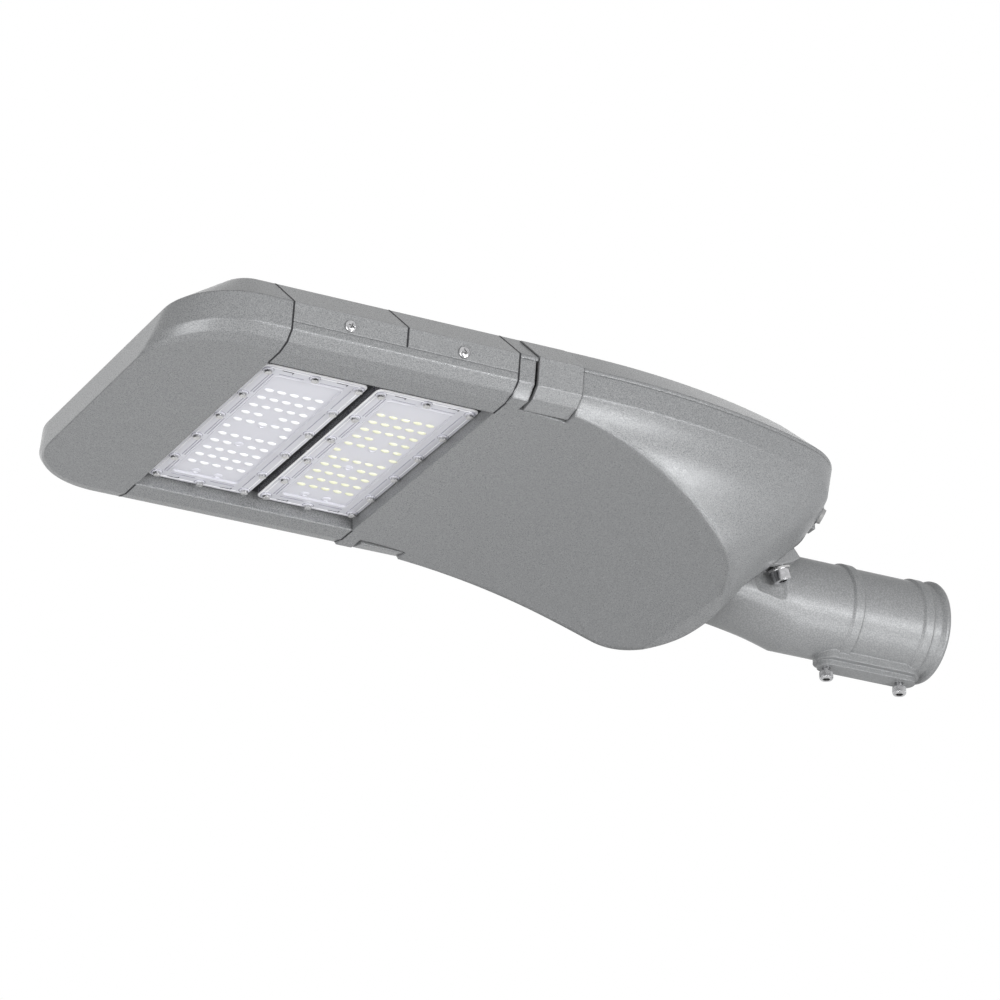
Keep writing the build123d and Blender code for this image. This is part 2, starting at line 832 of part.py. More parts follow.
def cap_screw(plane, shank, head, head_height, tip, across):
    # cap screw with a hex socket, the plane lies under its head and faces out
    with BuildSketch(plane) as top:
        Circle(head / 2)
    extrude(top.sketch, amount=head_height)
    with BuildSketch(plane) as stem:
        Circle(shank / 2 - thread_play)
    extrude(stem.sketch, amount=-tip)
    with BuildSketch(plane.offset(head_height - hex_depth)) as key:
        RegularPolygon(across / 2, 6, major_radius=False)
    extrude(key.sketch, amount=hex_depth, mode=Mode.SUBTRACT)


with BuildPart() as tilt_bolts:
    for y in bolt_sides:
        under_head = radial_plane(tilt_bolt_angle, bolt_face, y)
        tip = bolt_face - barrel_radius + tilt_bolt_depth - 2
        cap_screw(under_head, tilt_bolt_diameter, tilt_bolt_head, tilt_bolt_head_height, tip, hex_across + 1)
save(tilt_bolts, "tilt_bolts")

with BuildPart() as pole_set_screws:
    for x in (-set_screw_front, -set_screw_back):
        under_z = -socket_radius - boss_rise - set_screw_gap
        under_head = Plane(origin=(x, 0, under_z), z_dir=(0, 0, -1))
        tip = -under_z - bore_radius - thread_play
        cap_screw(under_head, set_screw_diameter, set_screw_head, set_screw_head_height, tip, hex_across)
save(pole_set_screws, "pole_set_screws")

# Nose cap
hood_angle = math.atan2(ridge_height - knee_height, nose_hood)
hood_wall = wall / math.sin(hood_angle)


def nose_front(height):
    # the front leans back a little up to the knee, and the hood above it slopes back
    if height <= knee_height:
        return x_nose + nose_rake * height / knee_height
    return x_nose + nose_rake + (height - knee_height) / math.tan(hood_angle)


def nose_levels(levels, rear_x):
    faces_up = []
    for height, half, corner, back in levels:
        with BuildSketch(Plane.XY.offset(z_base + height)) as level:
            nose_plan(nose_front(height) + back, half, corner, rear_x)
        faces_up.append(level.sketch.face())
    return faces_up


nose_outside = (
    (0.0, sole_half_width, nose_corner_sole, 0.0),
    (bevel_height, bevel_half_width, nose_corner_bevel, 0.0),
    (crease_height, crease_half_width, nose_corner_crease, 0.0),
    (knee_height, half_width, nose_corner_knee, 0.0),
    (ridge_height, ridge_half_width, nose_corner_ridge, 0.0),
    (crown_height, crown_half_width, nose_corner_crown, 0.0),
)
nose_inside = (
    (wall, bevel_half_width - wall, nose_corner_bevel - wall, wall),
    (crease_height + wall / 2, crease_half_width - wall, nose_corner_crease - wall, wall),
    (knee_height - wall / 2, half_width - wall, nose_corner_knee - wall, wall),
    (ridge_height - wall, ridge_half_width - wall / 2, nose_corner_ridge - wall, hood_wall),
    (crown_height - wall, crown_half_width, nose_corner_crown - wall, hood_wall),
)
with BuildPart() as nose_room:
    loft(nose_levels(nose_inside, x_front + 1), ruled=True)
    with BuildSketch(Plane.XY.offset(z_base)):
        with Locations((x_front - wall, 0)):
            Rectangle(nose_length, 4 * half_width, align=(Align.MIN, Align.CENTER))
    extrude(amount=seam_height, mode=Mode.SUBTRACT)

with BuildPart() as nose_cap:
    loft(nose_levels(nose_outside, x_front), ruled=True)
    add(nose_room.part, mode=Mode.SUBTRACT)
save(nose_cap, "nose_cap")

# Side rails of the window
rail_width = half_width - window_half_width
for side, name in ((-1, "near_rail"), (1, "far_rail")):
    with BuildPart() as rail:
        with BuildSketch(Plane.YZ.offset(x_front)):
            body_section()
            with Locations((side * (window_half_width + rail_width / 2), z_base + seam_height / 2)):
                Rectangle(rail_width, seam_height, mode=Mode.INTERSECT)
        extrude(amount=engine_count * engine_width)
        with BuildSketch(Plane.YZ.offset(x_front)):
            body_section()
            offset(amount=-wall, kind=Kind.INTERSECTION)
            with Locations((side * (window_half_width + wall + rail_width / 2), z_base + seam_height)):
                Rectangle(rail_width, 2 * (seam_height - wall), mode=Mode.INTERSECT)
        extrude(amount=engine_count * engine_width, mode=Mode.SUBTRACT)
    save(rail, name)


# Heatsinks with cross fins between their side skirts
def engine_front(index):
    return x_front + index * engine_width


def wall_frame(x, side):
    # plane on the outer side wall at the side screws, with its normal outwards
    lean = half_width - crease_half_width
    rise = knee_height - crease_height
    origin = (x, side * wall_half_width(side_screw_height), z_base + side_screw_height)
    return Plane(origin=origin, x_dir=(1, 0, 0), z_dir=(0, side * rise, -lean))


heatsink_length = engine_width - engine_joint
fin_space = (heatsink_length - fin_count * fin_thickness) / (fin_count - 1)
open_top = 2 * (ridge_half_width - wall)
boss_top = side_screw_height + side_boss_rise
boss_face = min(wall_half_width(seam_height), wall_half_width(boss_top)) - wall / 2
for index, name in enumerate(("front_heatsink", "rear_heatsink")):
    start = engine_front(index) + index * engine_joint
    screw_x = start + heatsink_length / 2
    with BuildPart() as heatsink:
        with BuildSketch(Plane.YZ.offset(start)):
            body_section()
            with Locations((0, z_seam)):
                Rectangle(3 * half_width, crown_height, align=(Align.CENTER, Align.MIN), mode=Mode.INTERSECT)
        extrude(amount=heatsink_length)
        for space in range(fin_count - 1):
            with BuildSketch(Plane.YZ.offset(start + fin_thickness + space * (fin_space + fin_thickness))):
                body_section()
                offset(amount=-wall, kind=Kind.INTERSECTION)
                with Locations((0, z_seam + heatsink_base)):
                    Rectangle(3 * half_width, crown_height, align=(Align.CENTER, Align.MIN), mode=Mode.INTERSECT)
                with Locations((0, z_base + knee_height)):
                    Rectangle(open_top, crown_height, align=(Align.CENTER, Align.MIN))
            extrude(amount=fin_space, mode=Mode.SUBTRACT)
        for side in (-1, 1):
            with Locations((screw_x, side * boss_face, z_seam)):
                Box(
                    fin_space,
                    side_boss_length,
                    boss_top - seam_height,
                    align=(Align.CENTER, Align.MAX if side > 0 else Align.MIN, Align.MIN),
                )
            with BuildSketch(wall_frame(screw_x, side)):
                Circle(side_screw_shank / 2)
            extrude(amount=-side_screw_length, mode=Mode.SUBTRACT)
    save(heatsink, name)

with BuildPart() as side_screws:
    for index in range(engine_count):
        screw_x = engine_front(index) + index * engine_joint + heatsink_length / 2
        for side in (-1, 1):
            with BuildSketch(wall_frame(screw_x, side)):
                Circle(side_screw_head / 2)
            extrude(amount=side_screw_head_height, taper=15)
            with BuildSketch(wall_frame(screw_x, side)):
                Circle(side_screw_shank / 2 - thread_play)
            extrude(amount=-side_screw_length)
save(side_screws, "side_screws")

# LED modules, each with a board, LEDs, a lens cover with its seal, and screws
module_length = engine_width - module_gap
module_width = module_far + module_near
module_y = (module_far - module_near) / 2
cover_height = seam_height - gasket_height - lens_sole
board_z = z_seam - board_thickness
led_spots = []
for row in range(led_rows):
    for column in range(led_columns):
        middle_column = column == led_columns // 2
        if row in (3, 7) and middle_column:
            continue
        spread = 0.0
        if row == led_rows // 2:
            if 0 < column < led_columns - 1:
                continue
            spread = led_spread if column else -led_spread
        led_x = (column - (led_columns - 1) / 2) * led_pitch_x + spread
        led_y = (row - (led_rows - 1) / 2) * led_pitch_y + led_offset_y
        led_spots.append((led_x, led_y))
long_side = module_length / 2 - lens_screw_inset
screw_rows = [
    (row - (lens_boss_rows - 1) / 2) * lens_boss_pitch + lens_boss_offset for row in range(lens_boss_rows)
]
screw_rows += [module_far - lens_end_inset, lens_end_inset - module_near]
screw_spots = [(x, y) for x in (-long_side, long_side) for y in screw_rows]
screw_spots += [(0, module_far - lens_screw_inset), (0, lens_screw_inset - module_near)]


def module_plan(x, inset, corner):
    with Locations((x, module_y)):
        RectangleRounded(module_length - 2 * inset, module_width - 2 * inset, corner)


for index in range(engine_count):
    module_x = engine_front(index) + engine_width / 2 + module_shift
    tag = "_" + str(index + 1)
    led_places = [(module_x + x, y) for x, y in led_spots]
    screw_places = [(module_x + x, y) for x, y in screw_spots]

    with BuildPart() as led_board:
        with BuildSketch(Plane.XY.offset(board_z)):
            module_plan(module_x, lens_flange + board_play, module_corner - board_play)
        extrude(amount=board_thickness)
    save(led_board, "led_board" + tag)

    with BuildPart() as led_packages:
        with BuildSketch(Plane.XY.offset(board_z - led_height)):
            with Locations(led_places):
                Rectangle(led_size, led_size)
        extrude(amount=led_height)
    save(led_packages, "led_packages" + tag)

    with BuildPart() as lens_cover:
        with BuildSketch(Plane.XY.offset(z_base + lens_sole)):
            module_plan(module_x, 0, module_corner)
        extrude(amount=cover_height)
        with BuildSketch(Plane.XY.offset(z_base + lens_sole)):
            module_plan(module_x, lens_flange + lens_rim, module_corner)
        extrude(amount=lens_field_drop, mode=Mode.SUBTRACT)
        with BuildSketch(Plane.XY.offset(z_base + lens_sole + lens_field_drop + lens_skin)):
            module_plan(module_x, lens_flange, module_corner)
        extrude(amount=cover_height, mode=Mode.SUBTRACT)
        with BuildSketch(Plane.XY.offset(z_base + lens_sole + lens_field_drop)):
            with Locations(led_places):
                RegularPolygon(dome_radius, 8)
        extrude(amount=-dome_height, taper=35)
        with BuildSketch(Plane.XY.offset(z_base + lens_sole)):
            with Locations(screw_places):
                Circle(lens_boss_diameter / 2)
        extrude(amount=-lens_boss_height)
        with BuildSketch(Plane.XY.offset(z_base + lens_sole - lens_boss_height)):
            with Locations(screw_places):
                Circle(lens_screw_diameter / 2)
        extrude(amount=cover_height + lens_boss_height, mode=Mode.SUBTRACT)
    save(lens_cover, "lens_cover" + tag)

    with BuildPart() as lens_gasket:
        with BuildSketch(Plane.XY.offset(z_seam - gasket_height)):
            module_plan(module_x, seal_inset, module_corner)
        extrude(amount=gasket_height)
        with BuildSketch(Plane.XY.offset(z_seam - gasket_height)):
            module_plan(module_x, seal_inset + seal_width, module_corner)
        extrude(amount=gasket_height, mode=Mode.SUBTRACT)
    save(lens_gasket, "lens_gasket" + tag)

    with BuildPart() as lens_screws:
        with BuildSketch(Plane.XY.offset(z_base + lens_sole - lens_boss_height)):
            with Locations(screw_places):
                Circle(lens_screw_head / 2)
        extrude(amount=-lens_screw_head_height)
        with BuildSketch(Plane.XY.offset(z_base + lens_sole - lens_boss_height)):
            with Locations(screw_places):
                Circle(lens_screw_diameter / 2 - thread_play)
        extrude(amount=cover_height + lens_boss_height + gasket_height)
    save(lens_screws, "lens_screws" + tag)

# Gear in the driver compartment, on a tray over four pillars
tray_x = x_split + tray_front
tray_z = z_base + tray_height
gear_z = tray_z + tray_thickness
driver_x = tray_x + tray_length / 2
ear_spots = [(driver_x + end * (driver_length + driver_ear) / 2, -gear_y) for end in (-1, 1)]
with BuildPart() as gear_tray:
    with BuildSketch(Plane.XY.offset(tray_z)):
        with Locations((tray_x + tray_length / 2, 0)):
            RectangleRounded(tray_length, tray_width, tray_corner)
        with Locations(pillar_spots + ear_spots):
            Circle(gear_screw / 2, mode=Mode.SUBTRACT)
    extrude(amount=tray_thickness)
save(gear_tray, "gear_tray")

with BuildPart() as driver:
    with BuildSketch(Plane.XY.offset(gear_z)):
        with Locations((driver_x, -gear_y)):
            Rectangle(driver_length + 2 * driver_ear, driver_width / 2)
        with Locations(ear_spots):
            Circle(gear_screw / 2, mode=Mode.SUBTRACT)
    extrude(amount=tray_thickness)
    with BuildSketch(Plane.XY.offset(gear_z)):
        with Locations((driver_x, -gear_y)):
            RectangleRounded(driver_length, driver_width, 3)
    extrude(amount=driver_height)
save(driver, "driver")

with BuildPart() as gear_screws:
    for spots, seat, depth in (
        (pillar_spots, gear_z, gear_screw_length),
        (ear_spots, gear_z + tray_thickness, 2 * tray_thickness),
    ):
        with BuildSketch(Plane.XY.offset(seat)):
            with Locations(spots):
                Circle(gear_screw_head / 2)
        extrude(amount=gear_screw_head_height)
        with BuildSketch(Plane.XY.offset(seat)):
            with Locations(spots):
                Circle(gear_screw / 2 - thread_play)
        extrude(amount=-depth)
save(gear_screws, "gear_screws")

with BuildPart() as surge_protector:
    with BuildSketch(Plane.XY.offset(gear_z)):
        with Locations((tray_x + surge_from_front, gear_y)):
            Circle(surge_diameter / 2)
    extrude(amount=surge_height)
save(surge_protector, "surge_protector")

with BuildPart() as terminal_block:
    with BuildSketch(Plane.XY.offset(gear_z)):
        with Locations((tray_x + terminal_from_front, gear_y)):
            Rectangle(terminal_length, terminal_width)
    extrude(amount=terminal_height)
save(terminal_block, "terminal_block")

with BuildPart() as cable_clamp:
    clamp_x = tray_x + tray_length - clamp_length
    with BuildSketch(Plane.YZ.offset(clamp_x)):
        with Locations((0, gear_z)):
            Rectangle(clamp_width, clamp_height, align=(Align.CENTER, Align.MIN))
        with Locations((0, gear_z + clamp_height / 2)):
            Circle(clamp_bore / 2, mode=Mode.SUBTRACT)
    extrude(amount=clamp_length / 2)
save(cable_clamp, "cable_clamp")
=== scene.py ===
import math

import bmesh
import bpy
from mathutils import Matrix, Vector


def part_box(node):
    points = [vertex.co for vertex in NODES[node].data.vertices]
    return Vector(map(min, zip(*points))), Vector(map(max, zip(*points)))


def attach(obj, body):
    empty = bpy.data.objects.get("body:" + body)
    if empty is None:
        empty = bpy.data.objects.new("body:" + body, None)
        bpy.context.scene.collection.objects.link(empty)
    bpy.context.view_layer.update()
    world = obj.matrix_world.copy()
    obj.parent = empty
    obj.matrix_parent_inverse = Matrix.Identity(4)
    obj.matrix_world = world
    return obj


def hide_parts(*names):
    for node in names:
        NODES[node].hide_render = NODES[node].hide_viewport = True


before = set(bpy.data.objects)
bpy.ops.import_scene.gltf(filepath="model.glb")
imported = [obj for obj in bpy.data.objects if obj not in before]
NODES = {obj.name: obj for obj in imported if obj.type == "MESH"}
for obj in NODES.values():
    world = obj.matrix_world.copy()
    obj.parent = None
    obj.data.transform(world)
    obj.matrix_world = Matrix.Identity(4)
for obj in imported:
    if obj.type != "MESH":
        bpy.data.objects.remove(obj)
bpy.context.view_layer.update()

# materials, floor, lamps and camera are in metres, the finer pieces in millimetres
MM = 0.001


# Materials
# parts of a noise over which colour and roughness change
PAINT_COLOR_RANGE, PAINT_ROUGH_RANGE, PLAIN_RANGE = (0.38, 0.66), (0.4, 0.6), (0.3, 0.7)
PAINT_SPECULAR = 0.03
PAINT_GRAIN_DEPTH = 0.0004
# heights between which the edges of the belly grow softer
EDGE_HEIGHT, DEEP_EDGE_HEIGHT = 0.038, 0.022
CLEAR_IOR = 1.58


def material(name, color, metallic=0.0, roughness=0.5):
    mat = bpy.data.materials.new(name)
    mat.use_nodes = True
    shader = mat.node_tree.nodes["Principled BSDF"]
    shader.inputs["Base Color"].default_value = (*color, 1)
    shader.inputs["Metallic"].default_value = metallic
    shader.inputs["Roughness"].default_value = roughness
    return mat, mat.node_tree, shader


def node(tree, kind, **values):
    """New node whose settings, or else inputs, have the given values."""
    made = tree.nodes.new(kind)
    for key, value in values.items():
        if hasattr(made, key):
            setattr(made, key, value)
        else:
            made.inputs[key].default_value = value
    return made


def place(tree):
    return node(tree, "ShaderNodeTexCoord").outputs["Object"]


def noise(tree, scale, detail=2.0, rough=0.5):
    tex = node(tree, "ShaderNodeTexNoise", Scale=scale, Detail=detail, Roughness=rough)
    tree.links.new(place(tree), tex.inputs["Vector"])
    return tex.outputs["Fac"]


def ramp(tree, source, low, high, start=0.0, end=1.0):
    """Blends two colours where the source goes from start to end."""
    made = node(tree, "ShaderNodeValToRGB")
    stops = made.color_ramp.elements
    stops[0].position, stops[1].position = start, end
    stops[0].color = (*low, 1)
    stops[1].color = (*high, 1)
    tree.links.new(source, made.inputs["Fac"])
    return made.outputs["Color"]


def grey(value):
    return (value, value, value)


def paint(name, low, high, metallic, roughs, edge, grain=1500.0, bump=0.05, deep_edge=None):
    """Metallic powder coat: sparkle in colour and roughness, and softened edges, softer on the belly."""
    rough_low, rough_high = roughs
    mat, tree, shader = material(name, high, metallic, rough_high)
    shader.inputs["Specular IOR Level"].default_value = PAINT_SPECULAR
    color = ramp(tree, noise(tree, grain, 1.0, 0.6), low, high, *PAINT_COLOR_RANGE)
    tree.links.new(color, shader.inputs["Base Color"])
    gloss = noise(tree, grain * 0.8, 1.0)
    rough = ramp(tree, gloss, grey(rough_low), grey(rough_high), *PAINT_ROUGH_RANGE)
    tree.links.new(rough, shader.inputs["Roughness"])
    bevel = node(tree, "ShaderNodeBevel", samples=6, Radius=edge)
    if deep_edge:
        height = node(tree, "ShaderNodeSeparateXYZ")
        tree.links.new(place(tree), height.inputs[0])
        width = node(tree, "ShaderNodeMapRange")
        width.inputs["From Min"].default_value = EDGE_HEIGHT
        width.inputs["From Max"].default_value = DEEP_EDGE_HEIGHT
        width.inputs["To Min"].default_value = edge
        width.inputs["To Max"].default_value = deep_edge
        tree.links.new(height.outputs["Z"], width.inputs["Value"])
        tree.links.new(width.outputs["Result"], bevel.inputs["Radius"])
    lumps = node(tree, "ShaderNodeBump", Strength=bump, Distance=PAINT_GRAIN_DEPTH)
    tree.links.new(noise(tree, grain * 0.7, 1.0), lumps.inputs["Height"])
    tree.links.new(bevel.outputs["Normal"], lumps.inputs["Normal"])
    tree.links.new(lumps.outputs["Normal"], shader.inputs["Normal"])
    return mat


def plain(name, low, high, metallic, roughs, scale=300.0, edge=0.0003):
    """Smooth metal or plastic with slight changes in colour and roughness."""
    rough_low, rough_high = roughs
    mat, tree, shader = material(name, high, metallic, rough_high)
    color = ramp(tree, noise(tree, scale, 3.0), low, high, *PLAIN_RANGE)
    tree.links.new(color, shader.inputs["Base Color"])
    gloss = noise(tree, scale * 1.7, 3.0)
    rough = ramp(tree, gloss, grey(rough_low), grey(rough_high), *PLAIN_RANGE)
    tree.links.new(rough, shader.inputs["Roughness"])
    bevel = node(tree, "ShaderNodeBevel", samples=4, Radius=edge)
    tree.links.new(bevel.outputs["Normal"], shader.inputs["Normal"])
    return mat


def clear(name, color, alpha):
    """Clear moulded plastic, slightly milky, seen as a thin tinted skin over what lies behind it."""
    mat, tree, shader = material(name, color, 0.0, 0.12)
    tree.links.new(ramp(tree, noise(tree, 120.0), grey(0.08), grey(0.16)), shader.inputs["Roughness"])
    shader.inputs["Alpha"].default_value = alpha
    shader.inputs["IOR"].default_value = CLEAR_IOR
    return mat


HOUSING = paint(
    "housing_paint", (0.225, 0.23, 0.236), (0.375, 0.38, 0.386), 0.26, (0.27, 0.37), 0.002, deep_edge=0.009
)
SIDE = paint("side_paint", (0.25, 0.255, 0.261), (0.4, 0.405, 0.411), 0.26, (0.27, 0.37), 0.0008)
ARM = paint("arm_paint", (0.26, 0.265, 0.27), (0.35, 0.355, 0.36), 0.3, (0.38, 0.48), 0.0012, 1100.0, 0.03)
SCREW = plain("screw_steel", (0.4, 0.4, 0.41), (0.56, 0.56, 0.57), 1.0, (0.1, 0.2))
BOLT = plain("bolt_steel", grey(0.5), grey(0.66), 1.0, (0.22, 0.36))
BOARD = plain("board_white", (0.86, 0.87, 0.9), (0.92, 0.93, 0.96), 0.0, (0.4, 0.5))
LED_COOL = plain("led_cool", (0.88, 0.88, 0.9), (0.95, 0.95, 0.96), 0.0, (0.3, 0.4))
LED_WARM = plain("led_warm", (0.86, 0.83, 0.6), (0.93, 0.9, 0.68), 0.0, (0.3, 0.4))
# black rubber of the gaskets; the same material paints the shade in the window recess and in the gaps
# between the castings
RUBBER_AND_SHADE = plain("seal_rubber", (0.012, 0.012, 0.014), (0.03, 0.03, 0.034), 0.0, (0.7, 0.9))
SHEET = plain("tray_steel", (0.45, 0.45, 0.44), (0.6, 0.6, 0.59), 0.9, (0.3, 0.5), 60.0)
CASE = plain("driver_case", grey(0.7), grey(0.78), 0.0, (0.4, 0.5))
GEAR = plain("gear_plastic", (0.03, 0.03, 0.035), (0.06, 0.06, 0.065), 0.0, (0.4, 0.55))
VENT = plain("vent_plastic", grey(0.3), grey(0.38), 0.0, (0.4, 0.5))

LENS = clear("lens_clear", (0.9, 0.9, 0.97), 0.74)
LENS_SIDE = clear("lens_side", (0.9, 0.9, 0.97), 0.12)
# near-white skin: painted highlight along the covers' rim edges
LENS_HIGHLIGHT = clear("lens_highlight", (0.98, 0.98, 1.0), 0.95)
# darker grey skin: painted shade along the step lines and round the bosses
LENS_EDGE = clear("lens_edge", (0.5, 0.5, 0.58), 0.55)
# near-black lines: the screw shafts behind the covers' front sides, and the painted shade of the corner
# slots
LENS_LINE = clear("lens_line", (0.1, 0.1, 0.13), 0.85)

# opaque near-white domes over module 1: the cool LEDs seen through them, and a painted glare highlight on
# the domes
DOME_COOL_AND_GLARE = plain("dome_cool_and_glare", (0.9, 0.9, 0.93), (0.98, 0.98, 0.99), 0.0, (0.1, 0.18), 200.0)
DOME_WARM = plain("dome_warm", (0.8, 0.81, 0.58), (0.92, 0.92, 0.74), 0.0, (0.06, 0.1), 200.0)
# darker steel for the screws' cross recesses and hex sockets: painted shade in the recesses
RECESS_SHADE = plain("screw_recess_shade", grey(0.1), grey(0.2), 0.7, (0.3, 0.5))

for mat, names in (
    (HOUSING, ("rear_housing", "lid", "nose_cap", "near_rail", "far_rail")),
    (SIDE, ("front_heatsink", "rear_heatsink", "near_latch", "far_latch")),
    (ARM, ("spigot_arm",)),
    (SCREW, ("side_screws", "pole_set_screws", "tilt_bolts")),
    (BOLT, ("lens_screws_1", "lens_screws_2", "tilt_washers", "latch_pins", "lid_hinge_pin", "gear_screws")),
    (LENS, ("lens_cover_1", "lens_cover_2")),
    (BOARD, ("led_board_1", "led_board_2")),
    (LED_COOL, ("led_packages_1",)),
    (LED_WARM, ("led_packages_2",)),
    (RUBBER_AND_SHADE, ("lens_gasket_1", "lens_gasket_2", "housing_gasket")),
    (SHEET, ("gear_tray",)),
    (CASE, ("driver",)),
    (GEAR, ("surge_protector", "terminal_block", "cable_clamp")),
    (VENT, ("vent_plug",)),
):
    for name in names:
        mesh = NODES[name].data
        mesh.materials.clear()
        mesh.materials.append(mat)


# Finer pieces, in millimetres, placed from the CAD boxes
def build(name, points, faces, mats, body, stands_for=(), indices=None, smooth=False):
    """Mesh piece that rides on a body. indices gives each face's place in mats."""
    mesh = bpy.data.meshes.new(name)
    mesh.from_pydata([Vector(p) * MM for p in points], [], faces)
    for mat in mats:
        mesh.materials.append(mat)
    for number, face in enumerate(mesh.polygons):
        face.use_smooth = smooth
        if indices:
            face.material_index = indices[number]
    work = bmesh.new()
    work.from_mesh(mesh)
    bmesh.ops.recalc_face_normals(work, faces=work.faces)
    work.to_mesh(mesh)
    work.free()
    made = bpy.data.objects.new(name, mesh)
    bpy.context.scene.collection.objects.link(made)
    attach(made, body)
    if stands_for:
        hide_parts(*stands_for)


def box(name):
    """Low and high corner of a CAD node, in millimetres."""
    return [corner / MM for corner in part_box(name)]


def islands(name):
    """Low and high corner, in millimetres, of each loose part of a CAD node, from the front backwards."""
    mesh = NODES[name].data
    parent = list(range(len(mesh.vertices)))

    def root(i):
        while parent[i] != i:
            parent[i] = parent[parent[i]]
            i = parent[i]
        return i

    seen = {}
    for vertex in mesh.vertices:
        key = tuple(round(value, 7) for value in vertex.co)
        parent[root(vertex.index)] = root(seen.setdefault(key, vertex.index))
    for edge in mesh.edges:
        parent[root(edge.vertices[0])] = root(edge.vertices[1])
    groups = {}
    for vertex in mesh.vertices:
        groups.setdefault(root(vertex.index), []).append(vertex.co / MM)
    boxes = []
    for group in groups.values():
        boxes.append([[pick(c[axis] for c in group) for axis in range(3)] for pick in (min, max)])
    return sorted(boxes)


def centres(name):
    """Middle in plan of each loose part of a CAD node."""
    return [((a[0] + b[0]) / 2, (a[1] + b[1]) / 2) for a, b in islands(name)]


def turns(count):
    return [math.tau * k / count for k in range(count)]


def rounded(cx, cy, wide, deep, radius, z, steps=6):
    """Rounded rectangle at a height."""
    ring = []
    for quarter, (sx, sy) in enumerate(((1, 1), (-1, 1), (-1, -1), (1, -1))):
        for step in range(steps + 1):
            angle = math.pi / 2 * (quarter + step / steps)
            x = cx + sx * (wide / 2 - radius) + radius * math.cos(angle)
            y = cy + sy * (deep / 2 - radius) + radius * math.sin(angle)
            ring.append((x, y, z))
    return ring


def band(points, faces, rings, closed=False):
    """Joins rings of equal length into a strip, and closes the last one where asked."""
    start = len(points)
    count = len(rings[0])
    for ring in rings:
        points.extend(ring)
    for level in range(len(rings) - 1):
        for k in range(count):
            a = start + level * count + k
            b = start + level * count + (k + 1) % count
            faces.append((a, b, b + count, a + count))
    if closed:
        faces.append(tuple(range(len(points) - count, len(points))))


def disc(points, faces, x, y, base, profile, count=20, flat=1.0):
    """Rings about a vertical axis from (radius, rise over base) pairs, closed at the last one."""
    rings = []
    for radius, rise in profile:
        z = base + rise
        rings.append([(x + radius * math.cos(a), y + flat * radius * math.sin(a), z) for a in turns(count)])
    band(points, faces, rings, True)


def bar(points, faces, x_low, x_high, y_low, y_high, z_top, z_low):
    """Block without its top face."""
    corners = ((x_low, y_low), (x_high, y_low), (x_high, y_high), (x_low, y_high))
    band(points, faces, [[(x, y, z) for x, y in corners] for z in (z_top, z_low)], True)


# Lens covers: flange with its step lines, raised rim, recessed field, bosses, and domes over the LEDs.
# Heights are over the underside of the flange, or over the field, and grow upwards into the lamp.
COVER_DEPTH = 5.5
FIELD_DROP = 1.2
FIELD_INSET = 14.0
# places in the cover's list of materials; the SHINE strips are near-white, a painted highlight along the
# rim's edges and steps
FACE, WALL, SHINE = range(3)
# inset from the cover's outline, height, corner radius, and material of the strip that starts there
COVER_RINGS = (
    (0.0, COVER_DEPTH, 5.0, WALL), (0.0, 0.9, 5.0, SHINE), (0.3, 0.3, 4.8, SHINE), (0.9, 0.0, 4.5, FACE),
    (2.7, 0.0, 4.0, SHINE), (2.9, -0.2, 4.0, SHINE), (3.3, -0.2, 3.9, SHINE), (3.5, 0.0, 3.8, FACE),
    (FIELD_INSET - 1.4, 0.0, 3.0, FACE), (FIELD_INSET - 1.2, -0.3, 3.0, FACE),
    (FIELD_INSET - 0.4, -0.3, 2.8, FACE), (FIELD_INSET, FIELD_DROP, 2.6, FACE),
)
BOSS_RADIUS = 3.6
BOSS_PROFILE = ((BOSS_RADIUS, 1.0), (BOSS_RADIUS, -0.5), (3.2, -0.8))
BOSS_LINE = ((BOSS_RADIUS + 0.5, 0.2), (BOSS_RADIUS + 0.5, -0.12))
LUMP_PROFILE = ((3.4, 0.2), (3.2, -0.5), (1.9, -0.9), (1.5, -0.4))
STEP_HALF = 0.3
STEP_HEIGHTS = (0.2, -0.25)
# insets of the step lines at the front (-1) and rear (1) edge, and their gap to each boss
STEP_INSETS = ((-1, (8.6, 10.6)), (1, (8.6,)))
STEP_GAP = 4.5
# step lines at the short edges: inset, and ends either side of the middle
SHORT_STEP_INSET = 10.0
SHORT_STEPS = ((-24.0, -6.0), (6.0, 24.0))
# screw shafts: outer and inner distance in front of the cover, half width, lower end
SHAFT_OUT, SHAFT_IN, SHAFT_HALF, SHAFT_FOOT = 0.3, 0.05, 0.5, 0.9
# corner slots: place, half length, half width, and the short leg at one end
SLOT_INSET, SLOT_OFFSET = 4.2, 20.0
SLOT_HALF, SLOT_HALF_WIDTH = 4.2, 0.35
LEG_START, LEG_LENGTH = 3.5, 2.0
SLOT_HEIGHTS = (0.2, -0.15)
DOME_FLAT = 0.48
DOME_RADIUS, DOME_RISE = 3.4, 1.3
DOME_PROFILE = [
    (DOME_RADIUS * math.cos(a), -DOME_RISE * math.sin(a)) for a in (0, 0.25, 0.5, 0.75, 1.0, 1.25, 1.5)
]

